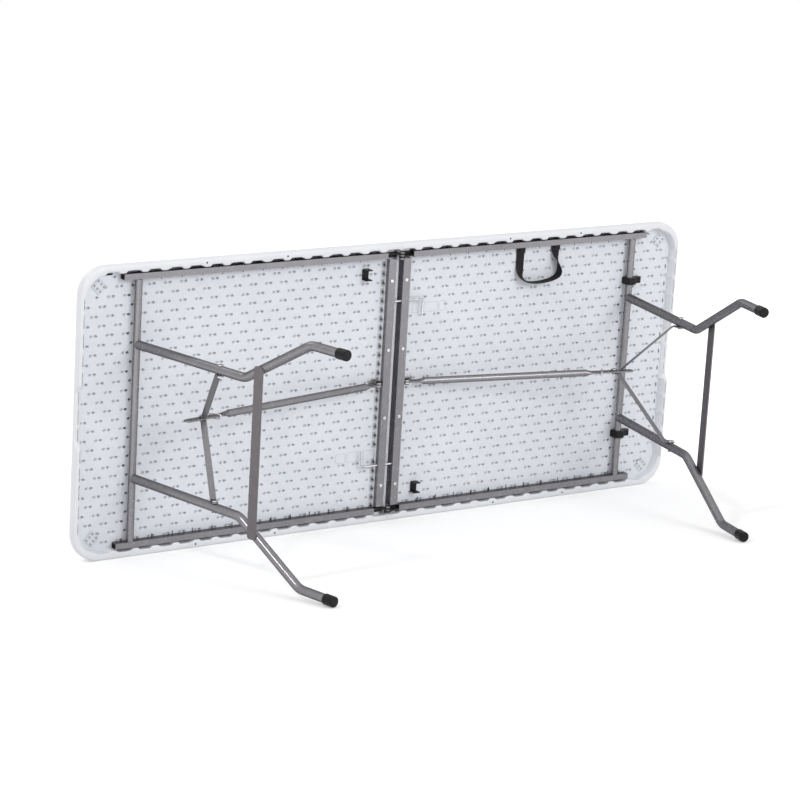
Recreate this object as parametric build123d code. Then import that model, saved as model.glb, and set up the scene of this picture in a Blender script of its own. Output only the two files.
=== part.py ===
from build123d import *
import os
from math import sin, cos, atan2, acos, degrees, radians, hypot

os.makedirs("parts", exist_ok=True)

# Folding table with a top that folds in half. Millimetres, +Z up, X along the length.
# Depths are measured down from the table's top face, and z() turns them into heights.

# Table top
table_length = 1800.0
table_width = 724.0
top_depth = 40.0
panel_depth = 18.0
wall = 3.0
rim_width = 17.0
end_rim_width = 20.0
corner_radius = 72.0
recess_radius = 46.0
edge_round_top = 22.0
edge_round_low = 8.0
seam_gap = 0.6
ridge_edge = 34.0
ridge_depth = 25.0
groove_half = 12.8
groove_depth = 14.0
grip_length = 124.0
grip_shoulder = 15.0
grip_height = 15.0
vent_radius = 2.5
vent_depth = 1.5
vent_near = 332.0
vent_far = 558.0

# Steel under the top
rail_width = 14.5
rail_wall = 1.5
rail_gap = 6.5
rail_depth = 38.5
rail_end_gap = 115.0
rail_start = 39.0
beam_inner = 11.0
beam_outer = 33.0
beam_depth = 37.0
beam_wall = 1.5
beam_end_gap = 2.5
rivet_near = 88.0
rivet_far = 266.0
rivet_x = (beam_inner + beam_outer) / 2
rivet_shank = 2.5
rivet_head = 4.8
rivet_rise = 2.0

# Leg frame
leg_angle = 11.3
pivot_inset = 42.0
pivot_depth = 32.0
foot_gap = 2.0
tube_radius = 11.0
tube_wall = 1.2
tube_plug = 4.0
cross_radius = 8.8
cross_seat = 5.0
journal_radius = 4.5
journal_reach = 10.0
foot_inset = 39.0
leg_flare = 120.0
foot_straight = 116.0
flare_length = 210.0
bend_radius = 48.0
spreader_drop = 56.0
spreader_width = 28.0
spreader_thick = 3.0
spreader_bite = 1.0
cap_radius = 13.0
cap_height = 30.0
cap_floor = 6.0
cap_round = 3.0
turn_gap = 0.4

# Brace, straps and lock ring
strap_rise = 84.5
strap_reach = 187.0
strap_width = 15.0
strap_thick = 2.5
brace_x = 44.0
brace_depth = 32.0
brace_radius = 9.0
brace_wall = 1.2
blade_width = 24.0
blade_thick = 4.0
blade_near = 26.0
neck_width = 19.0
blade_far = 62.0
blade_end = 8.6
flatten = 20.0
tip_length = 54.0
side_gap = 0.6
pin_radius = 4.0
pin_gap = 0.1
ring_wire = 1.5
ring_from_knee = 38.0
ring_tall = 27.0
ring_wide = 10.0
ring_tilt = 25.0
ring_hang = 0.3

# Centre hinge
hinge_depth = 42.0
hinge_eye = 8.0
hinge_pin = 4.0
leaf_thick = 4.0
leaf_length = 75.0
leaf_low = 36.7
leaf_high = 29.0
foot_near = 5.0
foot_far = 38.0
foot_thick = 1.5
hinge_head = 6.5
hinge_space = 0.3

# Slide bolts
bolt_radius = 3.0
bolt_y = 212.0
bolt_depth = 32.0
bolt_bend = 9.0
bolt_grip = 40.0
bolt_gap = 0.3
bolt_mouth = 4.2
bolt_mouth_depth = 31.2
left_bolt_x = 81.0
right_bolt_x = 79.0
left_bolt_tip = 10.5
right_bolt_tip = 12.0

# Plastic clips
clip_x = 92.0
clip_length = 18.0
clip_wall = 2.5
clip_floor = 2.5
clip_depth = 39.0
catch_out = 45.0
catch_width = 18.0
catch_half = 14.0
catch_depth = 46.0
catch_tab = 24.0

# Carry strap
web_width = 25.0
web_thick = 1.8
web_inset = 514.0
web_span = 112.0
web_drop = 94.0
web_edge = 2.0

# Derived places
half_length = table_length / 2
half_width = table_width / 2
recess_y = half_width - rim_width
recess_x = half_length - end_rim_width
rail_out = recess_y - rail_gap
rail_in = rail_out - rail_width
rail_end = half_length - rail_end_gap
beam_half = rail_in - beam_end_gap
pivot_x = rail_end - pivot_inset
leg_length = pivot_x - ridge_edge - foot_gap
foot_y = rail_in - foot_inset
leg_y = foot_y - leg_flare
catch_y = leg_y + catch_out
bend_low = leg_length - foot_straight
bend_high = bend_low - flare_length
spreader_at = bend_high + spreader_drop
strap_at = bend_high - strap_rise
web_left = half_length - web_inset
web_right = web_left + web_span
web_start = rail_in - web_edge
lean = radians(leg_angle)
cap_edge = cap_radius - cap_round
stand = pivot_depth + (leg_length - cap_round) * cos(lean) + cap_edge * sin(lean) + cap_round


def z(depth):
    return stand - depth


pivot_z = z(pivot_depth)
strap_x = pivot_x - strap_at * sin(lean)
strap_z = pivot_z - strap_at * cos(lean)
brace_z = z(brace_depth)
brace_reach = pivot_x - brace_x - strap_at + strap_reach
span_x = strap_x - brace_x
span_z = brace_z - strap_z
span = hypot(span_x, span_z)
span_angle = atan2(span_z, span_x)
inner_cos = (span ** 2 + brace_reach ** 2 - strap_reach ** 2) / (2 * span * brace_reach)
brace_slope = span_angle - acos(inner_cos)
knee_x = brace_x + brace_reach * cos(brace_slope)
knee_z = brace_z - brace_reach * sin(brace_slope)
strap_slope = atan2(knee_z - strap_z, strap_x - knee_x)
fold_angle = 90.0 - leg_angle


def block(x0, x1, y0, y1, d0, d1):
    size = Box(x1 - x0, y1 - y0, d1 - d0)
    return Pos((x0 + x1) / 2, (y0 + y1) / 2, z((d0 + d1) / 2)) * size


def rod_y(radius, x, height, y0, y1):
    turned = Rot(90, 0, 0) * Cylinder(radius, y1 - y0)
    return Pos(x, (y0 + y1) / 2, height) * turned


def rod_x(radius, x0, x1, y, height):
    turned = Rot(0, 90, 0) * Cylinder(radius, x1 - x0)
    return Pos((x0 + x1) / 2, y, height) * turned


def rod_z(radius, x, y, d0, d1):
    return Pos(x, y, z((d0 + d1) / 2)) * Cylinder(radius, d1 - d0)


def half_turn(shape):
    return shape.rotate(Axis.Z, 180)


nodes = {}


def keep(name, shape):
    solids = shape.solids()
    nodes[name] = solids[0] if len(solids) == 1 else Compound(children=list(solids))


def keep_both(right_name, left_name, shape):
    keep(right_name, shape)
    keep(left_name, half_turn(shape))


# Table top half: a hollow moulding with a deep rim, a thin panel, a ridge near the seam and a groove along it
def rounded_end(x0, x1, half, radius, d0, d1):
    body = block(x0, x1, -half, half, d0, d1)
    corners = body.edges().filter_by(Axis.Z).sort_by(Axis.X)[-2:]
    return fillet(corners, radius)


def grip_cut(start, more):
    narrow = grip_length / 2 + more
    wide = narrow + grip_shoulder
    low = z(top_depth)
    high = z(top_depth - grip_height - more)
    side = Plane(origin=(start, 0, 0), x_dir=(0, 1, 0), z_dir=(1, 0, 0))
    outline = [(-wide, low - 5), (wide, low - 5), (wide, low), (narrow, high), (-narrow, high), (-wide, low)]
    return extrude(side * make_face(Polyline(*outline, close=True)), amount=end_rim_width + 5)


def top_half():
    near = seam_gap / 2
    body = rounded_end(near, half_length, half_width, corner_radius, 0, top_depth)
    upper = [e for e in body.faces().sort_by(Axis.Z)[-1].edges() if e.center().X > near + 1]
    body = fillet(upper, edge_round_top)
    lower = [e for e in body.faces().sort_by(Axis.Z)[0].edges() if e.center().X > near + 1]
    body = fillet(lower, edge_round_low)
    recess = block(ridge_edge, recess_x, -recess_y, recess_y, panel_depth, top_depth + 5)
    recess = fillet(recess.edges().filter_by(Axis.Z).sort_by(Axis.X)[-2:], recess_radius)
    over_ridge = block(-5, ridge_edge + 1, -recess_y, recess_y, ridge_depth, top_depth + 5)
    groove = block(-5, groove_half, -recess_y, recess_y, groove_depth, top_depth + 5)
    body = body - recess - over_ridge - groove
    body = body - grip_cut(recess_x - 1, 0)
    hollow = rounded_end(near + wall, half_length - wall, half_width - wall,
                         corner_radius - wall, wall, top_depth - wall)
    inside = [e for e in hollow.faces().sort_by(Axis.Z)[-1].edges() if e.center().X > near + wall + 1]
    hollow = fillet(inside, edge_round_top - wall)
    above_panel = block(ridge_edge - wall, recess_x + wall, -recess_y - wall, recess_y + wall,
                        panel_depth - wall, top_depth + 5)
    at_ridge = block(-5, ridge_edge, -recess_y - wall, recess_y + wall,
                     ridge_depth - wall, top_depth + 5)
    at_groove = block(-5, groove_half + wall, -recess_y - wall, recess_y + wall,
                      groove_depth - wall, top_depth + 5)
    body = body - (hollow - above_panel - at_ridge - at_groove - grip_cut(recess_x - 1, wall))
    rim_mid = half_width - rim_width / 2 - 2
    for x in (vent_near, vent_far):
        for side in (-1, 1):
            body = body - rod_z(vent_radius, x, side * rim_mid, top_depth - vent_depth, top_depth + 2)
    return body


keep_both("right_top", "left_top", top_half())


# Side rails: open-ended box section with a hole for the journal of the leg frame's cross tube
def rail():
    body = block(rail_start, rail_end, rail_in, rail_out, panel_depth, rail_depth)
    body = body - block(rail_start - 1, rail_end + 1, rail_in + rail_wall, rail_out - rail_wall,
                        panel_depth + rail_wall, rail_depth - rail_wall)
    bore = journal_radius + turn_gap
    return body - rod_y(bore, pivot_x, pivot_z, rail_in - 5, rail_in + rail_wall + 1)


front_rail = rail()
back_rail = front_rail.mirror(Plane.XZ)
keep_both("right_rail_front", "left_rail_back", front_rail)
keep_both("right_rail_back", "left_rail_front", back_rail)


# Centre beams: channels on the seam ridge, the inner flange down in the groove, with holes for the slide bolts
def beam():
    body = block(beam_inner, beam_outer, -beam_half, beam_half, ridge_depth, beam_depth)
    body = body - block(beam_inner + beam_wall, beam_outer - beam_wall, -beam_half - 1, beam_half + 1,
                        ridge_depth - 1, beam_depth - beam_wall)
    body = body + block(beam_inner, beam_inner + beam_wall, -beam_half, beam_half,
                        groove_depth + 1, ridge_depth + 1)
    body = body - rod_x(bolt_radius + bolt_gap, 0, 50, -bolt_y, z(bolt_depth))
    mouth_end = beam_inner + beam_wall + 2
    body = body - rod_x(bolt_mouth, 0, mouth_end, bolt_y, z(bolt_mouth_depth))
    for y in (-rivet_far, -rivet_near, rivet_near, rivet_far):
        body = body - rod_z(rivet_shank, rivet_x, y, ridge_depth, beam_depth + 1)
    return body


def rivets():
    group = []
    for y in (-rivet_far, -rivet_near, rivet_near, rivet_far):
        shank = rod_z(rivet_shank, rivet_x, y, ridge_depth, beam_depth)
        head = rod_z(rivet_head, rivet_x, y, beam_depth, beam_depth + rivet_rise)
        head = fillet(head.faces().sort_by(Axis.Z)[0].edges(), rivet_rise * 0.8)
        group.append((shank + head).solids()[0])
    return Compound(children=group)


keep_both("right_beam", "left_beam", beam())
keep_both("right_rivets", "left_rivets", rivets())


# Centre hinges: one leaf in each rail end, side by side on a pin below the seam, each with a foot on the ridge
def leaf(y0):
    y1 = y0 + leaf_thick
    side = 1 if y0 > 0 else -1
    foot_y0, foot_y1 = sorted((side * rail_in, side * rail_out))
    foot = block(foot_near, foot_far, foot_y0, foot_y1, ridge_depth, ridge_depth + foot_thick)
    eye = rod_y(hinge_eye, 0, z(hinge_depth), y0, y1)
    outline = Polyline(
        (-1.5, z(hinge_depth - hinge_eye + 0.2)),
        (foot_near, z(ridge_depth + foot_thick)),
        (foot_far, z(ridge_depth + foot_thick)),
        (foot_far, z(leaf_high)),
        (leaf_length, z(leaf_high)),
        (leaf_length, z(leaf_low)),
        (26, z(leaf_low)),
        (4, z(hinge_depth + hinge_eye - 1.2)),
        close=True,
    )
    plate = extrude(Plane.XZ * make_face(outline), leaf_thick)
    plate = plate.translate((0, y1 - plate.bounding_box().max.Y, 0))
    return eye + plate + foot


leaf_inner = rail_in + rail_wall
leaf_outer = rail_out - rail_wall - leaf_thick
outer_leaf = leaf(leaf_outer) - rod_y(hinge_pin + pin_gap, 0, z(hinge_depth), leaf_outer - 1, rail_out)
inner_leaf = leaf(-leaf_inner - leaf_thick)
inner_leaf = inner_leaf - rod_y(hinge_pin + pin_gap, 0, z(hinge_depth), -rail_out, -leaf_inner + 1)
keep("right_leaf_front", outer_leaf)
keep("right_leaf_back", inner_leaf)
outer_tight = leaf(leaf_outer) - rod_y(hinge_pin, 0, z(hinge_depth), leaf_outer - 1, rail_out)
inner_tight = leaf(-leaf_inner - leaf_thick)
inner_tight = inner_tight - rod_y(hinge_pin, 0, z(hinge_depth), -rail_out, -leaf_inner + 1)
keep("left_leaf_back", half_turn(outer_tight))
keep("left_leaf_front", half_turn(inner_tight))


def hinge_bolt(tight_first):
    height = z(hinge_depth)
    low = rail_in - hinge_space
    high = rail_out
    pin = rod_y(hinge_pin, 0, height, low, high)
    pin = pin + rod_y(hinge_head, 0, height, low - 2.5, leaf_inner - (0 if tight_first else hinge_space))
    pin = pin + rod_y(hinge_head, 0, height, leaf_outer + leaf_thick + (hinge_space if tight_first else 0),
                      high + 2.0)
    gap_low = leaf_inner + leaf_thick + (0 if tight_first else hinge_space)
    gap_high = leaf_outer - (hinge_space if tight_first else 0)
    return pin + rod_y(hinge_head, 0, height, gap_low, gap_high)


keep("hinge_pin_front", hinge_bolt(True))
keep("hinge_pin_back", hinge_bolt(False).mirror(Plane.XZ))


# Leg frame: cross tube, two bent legs, spreader and foot caps, built hanging from the pivot
def leg_frame_place(shape):
    return Pos(pivot_x, 0, pivot_z) * (Rot(0, leg_angle, 0) * shape)


def bent_leg():
    wire = rounded_path()
    outer = sweep(Plane(origin=(0, leg_y, 0), z_dir=(0, 0, -1)) * Circle(tube_radius), path=wire)
    inner = sweep(Plane(origin=(0, leg_y, 0), z_dir=(0, 0, -1)) * Circle(tube_radius - tube_wall),
                  path=wire)
    body = outer - inner
    cope = Rot(90, 0, 0) * Cylinder(cross_radius, 2 * rail_in)
    upper = Pos(0, 0, tube_radius - cross_seat) * Box(6 * tube_radius, table_width, 2 * tube_radius)
    body = body - cope - upper
    height = -strap_at
    hole = Pos(0, leg_y, height) * (Rot(90, 0, 0) * Cylinder(pin_radius, 60))
    return (body - hole).solids().sort_by(SortBy.VOLUME)[-1]


def rounded_path():
    run = atan2(foot_y - leg_y, bend_low - bend_high)
    back = bend_radius * (sin(run / 2) / cos(run / 2))
    uy = sin(run)
    uz = -cos(run)
    a = Vector(0, leg_y, 0)
    b = Vector(0, leg_y, -(bend_high - back))
    c = Vector(0, leg_y + back * uy, -bend_high + back * uz)
    d = Vector(0, foot_y - back * uy, -bend_low - back * uz)
    e = Vector(0, foot_y, -(bend_low + back))
    f = Vector(0, foot_y, -(leg_length - cap_floor))
    slant = Vector(0, uy, uz)
    down = Vector(0, 0, -1)
    return Wire([
        Line(a, b),
        TangentArc(b, c, tangent=down),
        Line(c, d),
        TangentArc(d, e, tangent=slant),
        Line(e, f),
    ])


def foot_cap():
    bottom = -leg_length
    body = Pos(0, foot_y, bottom + cap_height / 2) * Cylinder(cap_radius, cap_height)
    body = fillet(body.faces().sort_by(Axis.Z)[0].edges(), cap_round)
    body = fillet(body.faces().sort_by(Axis.Z)[-1].edges(), 1.0)
    bore = Pos(0, foot_y, bottom + cap_floor + cap_height / 2) * Cylinder(tube_radius, cap_height)
    return body - bore


def spreader():
    along = (spreader_at - bend_high) / (bend_low - bend_high)
    reach = leg_y + along * (foot_y - leg_y) + 8
    thick_at = tube_radius - spreader_bite + spreader_thick / 2
    bar = Pos(thick_at, 0, -spreader_at) * Box(spreader_thick, 2 * reach, spreader_width)
    bar = fillet(bar.edges().filter_by(Axis.X), 8)
    for side in (1, -1):
        run = degrees(atan2(foot_y - leg_y, bend_low - bend_high))
        start = Vector(0, side * (leg_y + along * (foot_y - leg_y)), -spreader_at)
        groove = Rot(side * run, 0, 0) * Cylinder(tube_radius, 6 * spreader_width)
        bar = bar - groove.translate(start)
    return bar


def cross_tube():
    end = rail_in - side_gap
    outer = Rot(90, 0, 0) * Cylinder(cross_radius, 2 * end)
    inner = Rot(90, 0, 0) * Cylinder(cross_radius - tube_wall, 2 * end - 2 * tube_plug)
    body = outer - inner
    for side in (1, -1):
        middle = side * (end + journal_reach / 2 - 1)
        body = body + Pos(0, middle, 0) * (Rot(90, 0, 0) * Cylinder(journal_radius, journal_reach + 2))
    return body


def strap_rivet():
    low = leg_y - tube_radius - side_gap - strap_thick - side_gap
    high = leg_y + tube_radius + 0.5
    shank = Pos(0, (low + high) / 2, -strap_at) * (Rot(90, 0, 0) * Cylinder(pin_radius, high - low))
    head = Pos(0, low - 1.25, -strap_at) * (Rot(90, 0, 0) * Cylinder(pin_radius + 3, 2.5))
    tail = Pos(0, high + 1.0, -strap_at) * (Rot(90, 0, 0) * Cylinder(pin_radius + 2.5, 2.0))
    tail_groove = Pos(0, leg_y, -strap_at) * Cylinder(tube_radius, 40)
    return (shank + head + (tail - tail_groove)).solids().sort_by(SortBy.VOLUME)[-1]


front_leg = bent_leg()
front_cap = foot_cap()
front_rivet = strap_rivet()
keep_both("right_cross_tube", "left_cross_tube", leg_frame_place(cross_tube()))
keep_both("right_leg_front", "left_leg_back", leg_frame_place(front_leg))
keep_both("right_leg_back", "left_leg_front", leg_frame_place(front_leg.mirror(Plane.XZ)))
keep_both("right_foot_front", "left_foot_back", leg_frame_place(front_cap))
keep_both("right_foot_back", "left_foot_front", leg_frame_place(front_cap.mirror(Plane.XZ)))
keep_both("right_spreader", "left_spreader", leg_frame_place(spreader()))
pair = Compound(children=[front_rivet, front_rivet.mirror(Plane.XZ)])
keep_both("right_strap_rivets", "left_strap_rivets", leg_frame_place(pair))


# Straps: two flat bars from the legs to the knee, bent to lie beside the brace blade
def strap():
    near_y = blade_thick / 2 + side_gap + strap_thick / 2
    far_y = leg_y - tube_radius - side_gap - strap_thick / 2
    half = strap_width / 2
    start = (-half - 2, near_y)
    turn_in = (14, near_y)
    turn_out = (strap_reach - 22, far_y)
    finish = (strap_reach + half + 2, far_y)
    angle = atan2(far_y - near_y, turn_out[0] - turn_in[0])
    shift = strap_thick / 2
    miter = shift * sin(angle / 2) / cos(angle / 2)
    edge = Polyline(
        (start[0], near_y + shift),
        (turn_in[0] - miter, near_y + shift),
        (turn_out[0] - miter, far_y + shift),
        (finish[0], far_y + shift),
        (finish[0], far_y - shift),
        (turn_out[0] + miter, far_y - shift),
        (turn_in[0] + miter, near_y - shift),
        (start[0], near_y - shift),
        close=True,
    )
    bar = extrude(make_face(edge), half, both=True)
    ends = bar.edges().filter_by(Axis.Y).sort_by(Axis.X)
    bar = fillet(ends[:2] + ends[-2:], half - 0.5)
    hole = Pos(strap_reach, far_y, 0) * (Rot(90, 0, 0) * Cylinder(pin_radius + pin_gap, 20))
    bar = bar - hole
    stud = Pos(0, near_y + shift + 1.25, 0) * (Rot(90, 0, 0) * Cylinder(pin_radius + 2.5, 2.5))
    stud = fillet(stud.faces().sort_by(Axis.Y)[-1].edges(), 1.2)
    return bar, stud


def strap_place(shape):
    turn = degrees(strap_slope)
    return Pos(knee_x, 0, knee_z) * (Rot(0, turn, 0) * shape)


front_bar, front_stud = strap()
keep_both("right_strap_front", "left_strap_back", strap_place(front_bar))
keep_both("right_strap_back", "left_strap_front", strap_place(front_bar.mirror(Plane.XZ)))
studs = Compound(children=[front_stud.solid(), front_stud.mirror(Plane.XZ).solid()])
keep_both("right_knee_studs", "left_knee_studs", strap_place(studs))


# Brace: round tube pressed flat at both ends, running from the centre bracket past the knee
def brace_taper(flat_at, round_at, width):
    across = dict(x_dir=(0, 0, 1), z_dir=(1, 0, 0))
    flat = Plane(origin=(flat_at, 0, 0), **across) * Ellipse(width / 2, blade_thick / 2 + 0.3)
    full = Plane(origin=(round_at, 0, 0), **across) * Ellipse(brace_radius - 0.1, brace_radius - 0.2)
    return loft([flat, full])


def brace():
    near = blade_near + flatten
    far = brace_reach - blade_far - flatten
    bite = 3.0
    tube = rod_local(brace_radius, near, far)
    tube = tube - rod_local(brace_radius - brace_wall, near + 2 * bite, far - 2 * bite)
    body = tube + brace_taper(blade_near, near + bite, blade_width)
    body = body + brace_taper(far + flatten, far - bite, blade_width)
    near_end = blade_near + 14
    near_blade = Pos((near_end - blade_end) / 2, 0, 0) * Box(near_end + blade_end, blade_thick, blade_width - 4)
    near_blade = fillet(near_blade.edges().filter_by(Axis.Y).sort_by(Axis.X)[:2], 9)
    far_start = far + flatten - 14
    far_end = brace_reach + tip_length
    far_blade = Pos((far_start + far_end) / 2, 0, 0) * Box(far_end - far_start, blade_thick, neck_width)
    far_blade = fillet(far_blade.edges().filter_by(Axis.Y).sort_by(Axis.X)[-2:], 8)
    hole = Rot(90, 0, 0) * Cylinder(pin_radius + pin_gap, 20)
    return body + near_blade + far_blade - hole


def rod_local(radius, x0, x1):
    return Pos((x0 + x1) / 2, 0, 0) * (Rot(0, 90, 0) * Cylinder(radius, x1 - x0))


def brace_place(shape):
    return Pos(brace_x, 0, brace_z) * (Rot(0, degrees(brace_slope), 0) * shape)


keep_both("right_brace", "left_brace", brace_place(brace()))


# Brace bracket: two ears on a base plate beside the beam, with their own pin
def bracket():
    low = blade_thick / 2 + side_gap
    base = block(ridge_edge + 1, brace_x + 22, -low - 12, low + 12, panel_depth, panel_depth + 2)
    body = base
    for side in (1, -1):
        y0 = low if side > 0 else -low - 2.5
        ear = rod_y(8, brace_x, brace_z, y0, y0 + 2.5)
        ear = ear + block(brace_x - 8, brace_x + 8, y0, y0 + 2.5, panel_depth + 2, brace_depth)
        body = body + ear
    return body - rod_y(pin_radius, brace_x, brace_z, -20, 20)


def bracket_pin():
    out = blade_thick / 2 + side_gap + 2.5
    pin = rod_y(pin_radius, brace_x, brace_z, -out - 0.5, out + 0.5)
    for y0 in (-out - 3.0, out):
        head = rod_y(pin_radius + 2, brace_x, brace_z, y0, y0 + 3.0)
        pin = pin + head
    return pin


keep_both("right_bracket", "left_bracket", bracket())
keep_both("right_bracket_pin", "left_bracket_pin", bracket_pin())


# Lock ring: a loop of wire hanging round the brace blade near the knee
def lock_ring():
    tall = ring_tall + 2 * ring_wire
    wide = ring_wide + 2 * ring_wire
    shape = RectangleRounded(wide, tall, wide / 2 - 0.5)
    wire = (Plane(origin=(0, 0, 0), x_dir=(0, 1, 0), z_dir=(1, 0, 0)) * shape).wire()
    start = wire.position_at(0)
    along = wire.tangent_at(0)
    loop = sweep(Plane(origin=start, z_dir=along) * Circle(ring_wire), path=wire)
    loop = Rot(0, ring_tilt, 0) * loop
    reach = (ring_tall / 2 + ring_wire) * cos(radians(ring_tilt)) - ring_wire
    drop = reach - neck_width / 2 - ring_hang
    return loop.translate((brace_reach - ring_from_knee, 0, -drop))


keep_both("right_lock_ring", "left_lock_ring", brace_place(lock_ring()))


# Slide bolts: bent wire that slides through the beam and across the seam
def slide_bolt(bend_x, tip):
    height = z(bolt_depth)
    a = Vector(-tip, -bolt_y, height)
    b = Vector(bend_x - bolt_bend, -bolt_y, height)
    c = Vector(bend_x, -bolt_y + bolt_bend, height)
    d = Vector(bend_x, -bolt_y + bolt_grip, height)
    wire = Wire([Line(a, b), TangentArc(b, c, tangent=(1, 0, 0)), Line(c, d)])
    body = sweep(Plane(origin=a, z_dir=(1, 0, 0)) * Circle(bolt_radius), path=wire)
    tip_edges = body.faces().sort_by(Axis.X)[0].edges()
    body = chamfer(tip_edges, 1.8)
    return fillet(body.faces().sort_by(Axis.Y)[-1].edges(), 2.0)


keep("right_bolt", slide_bolt(right_bolt_x, right_bolt_tip))
keep("left_bolt", half_turn(slide_bolt(left_bolt_x, left_bolt_tip)))


# Leg clip: a plastic fork on the panel that takes the folded leg
def leg_clip():
    gap = tube_radius + turn_gap
    x0 = clip_x - clip_length / 2
    x1 = clip_x + clip_length / 2
    body = block(x0, x1, foot_y - gap - clip_wall, foot_y + gap + clip_wall, panel_depth, clip_depth)
    body = body - block(x0 - 1, x1 + 1, foot_y - gap, foot_y + gap, panel_depth + clip_floor, clip_depth + 1)
    top_edges = body.faces().sort_by(Axis.Z)[0:2].edges().filter_by(Axis.Y)
    return fillet(top_edges, 1.5)


keep_both("right_leg_clip", "left_leg_clip", leg_clip())


# Catch blocks: saddles round the right cross tube that hold the closed table together
def catch(side):
    y0 = side * catch_y - catch_width / 2
    y1 = side * catch_y + catch_width / 2
    body = block(pivot_x - catch_half, pivot_x + catch_half, y0, y1, panel_depth, catch_depth)
    body = fillet(body.faces().sort_by(Axis.Z)[0].edges().filter_by(Axis.Y), 5)
    tab = block(pivot_x + catch_half, pivot_x + catch_half + catch_tab, y0 + 1, y1 - 1,
                panel_depth, panel_depth + 17)
    tab = fillet(tab.edges().filter_by(Axis.Y).sort_by(Axis.X)[-2:][-1:], 4)
    body = body + tab
    return body - rod_y(cross_radius + turn_gap, pivot_x, pivot_z, y0 - 1, y1 + 1)


keep("catch_front", catch(1))
keep("catch_back", catch(-1))


# Carry strap: webbing that lies flat at its ends and turns on edge along the loop
def web_section(x, y, depth, along, turn):
    direction = Vector(*along).normalized()
    flat = direction.cross(Vector(0, 0, 1)).normalized()
    side = flat * cos(radians(turn)) + Vector(0, 0, -1) * sin(radians(turn))
    plane = Plane(origin=(x, y, z(depth)), x_dir=side, z_dir=direction)
    return plane * Rectangle(web_width, web_thick)


def carry_strap():
    rest = panel_depth + web_thick / 2
    middle = panel_depth + web_width / 2 + 0.6
    lift = middle - rest
    stations = [
        (0.0, 0.0, 0.0, (0, 1, 0), 0),
        (0.0, 0.21, 0.0, (0, 1, 0), 0),
        (0.0, 0.36, 0.12, (0, 1, 0), -4),
        (-0.005, 0.51, 0.46, (0, 1, 0), -20),
        (0.0, 0.65, 0.84, (0.1, 1, 0), -45),
        (0.025, 0.765, 0.96, (0.35, 1, 0), -68),
        (0.085, 0.87, 1.0, (0.75, 1, 0), -82),
        (0.18, 0.955, 1.0, (1, 0.5, 0), -90),
        (0.32, 0.995, 1.0, (1, 0.1, 0), -90),
        (0.5, 1.0, 1.0, (1, -0.05, 0), -90),
        (0.7, 0.98, 1.0, (1, -0.12, 0), -90),
        (0.89, 0.935, 1.0, (1, -0.3, 0), -90),
        (1.03, 0.86, 1.0, (1, -0.9, 0), -90),
        (1.08, 0.745, 1.0, (0.15, -1, 0), -96),
        (1.075, 0.64, 0.93, (-0.2, -1, 0), -112),
        (1.045, 0.52, 0.84, (-0.25, -1, 0), -135),
        (1.02, 0.405, 0.46, (-0.18, -1, 0), -160),
        (1.005, 0.3, 0.12, (-0.08, -1, 0), -176),
        (1.0, 0.17, 0.0, (0, -1, 0), -180),
        (1.0, 0.0, 0.0, (0, -1, 0), -180),
    ]
    faces = []
    for across, down, rise, along, turn in stations:
        x = web_left + across * web_span
        y = -web_start + down * web_drop
        faces.append(web_section(x, y, rest + rise * lift, along, turn))
    return loft(faces, ruled=True)


keep("carry_strap", carry_strap())


def strap_plates():
    group = []
    for x in (web_left, web_right):
        d0 = panel_depth + web_thick
        plate = block(x - 14, x + 14, -web_start, -web_start + 14, d0, d0 + 1.5)
        head = rod_z(5, x, -web_start + 7, d0 + 1.5, d0 + 3.5)
        group.append((plate + head).solids()[0])
    return Compound(children=group)


keep("carry_plates", strap_plates())

for name, shape in nodes.items():
    export_step(shape, "parts/" + name + ".step")

print("stand", round(stand, 3), "pivot", pivot_x, round(pivot_z, 3))
print("strap pivot", round(strap_x, 3), round(strap_z, 3), "brace pivot", brace_x, round(brace_z, 3))
print("knee", round(knee_x, 3), round(knee_z, 3), "brace slope", round(degrees(brace_slope), 4))
print("fold", fold_angle, "strap slope", round(degrees(strap_slope), 4), "nodes", len(nodes))
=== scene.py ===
import bmesh
import bpy
import numpy as np
from mathutils import Matrix


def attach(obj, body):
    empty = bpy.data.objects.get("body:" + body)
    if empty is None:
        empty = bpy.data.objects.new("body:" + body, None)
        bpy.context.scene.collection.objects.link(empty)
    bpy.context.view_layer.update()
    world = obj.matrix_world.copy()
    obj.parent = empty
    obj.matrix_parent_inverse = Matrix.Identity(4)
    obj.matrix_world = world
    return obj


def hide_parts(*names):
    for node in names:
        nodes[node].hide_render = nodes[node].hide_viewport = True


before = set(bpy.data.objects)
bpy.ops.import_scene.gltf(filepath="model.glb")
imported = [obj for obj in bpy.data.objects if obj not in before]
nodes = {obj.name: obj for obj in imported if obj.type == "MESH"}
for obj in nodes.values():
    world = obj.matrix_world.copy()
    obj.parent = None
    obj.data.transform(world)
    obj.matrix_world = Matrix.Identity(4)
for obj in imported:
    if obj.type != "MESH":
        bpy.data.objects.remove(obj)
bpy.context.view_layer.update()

# Moulded halves, outer skin: each half of the top is one blow-moulded white polyethylene shell.
# A rim runs round three sides, a ridge closes the seam side and a flat skin is the table's face.
# The left half is the same moulding turned half round.
table_face = 0.727312
half_length = 0.900
half_width = 0.362
seam_face = 0.0003
corner_radius = 0.072
rim_drop = 0.040
panel_drop = 0.018
skin_drop = 0.008
edge_round = 0.022
edge_points = 10
side_points = 127
corner_points = 13
end_points = 105
bay_pitch = 0.0566
bay_start = 0.0234
bay_half = 0.0155
bay_slope = 0.0042
side_bay_depth = 0.0055
row_pitch = 0.02327
end_bay_depth = 0.0030
end_bay_half = 0.0165
end_bay_reach = 0.285
end_bay_fade = 0.010
grip_half = 0.062
grip_shoulder = 0.015
grip_cut = 0.015
grip_zone = 0.040
ridge_edge = 0.034
ridge_drop = 0.025
ridge_half = 0.350
ridge_points = 211
flute_half = 0.0022
flute_slope = 0.003
flute_depth = 0.0028
hair = 1e-6


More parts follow.
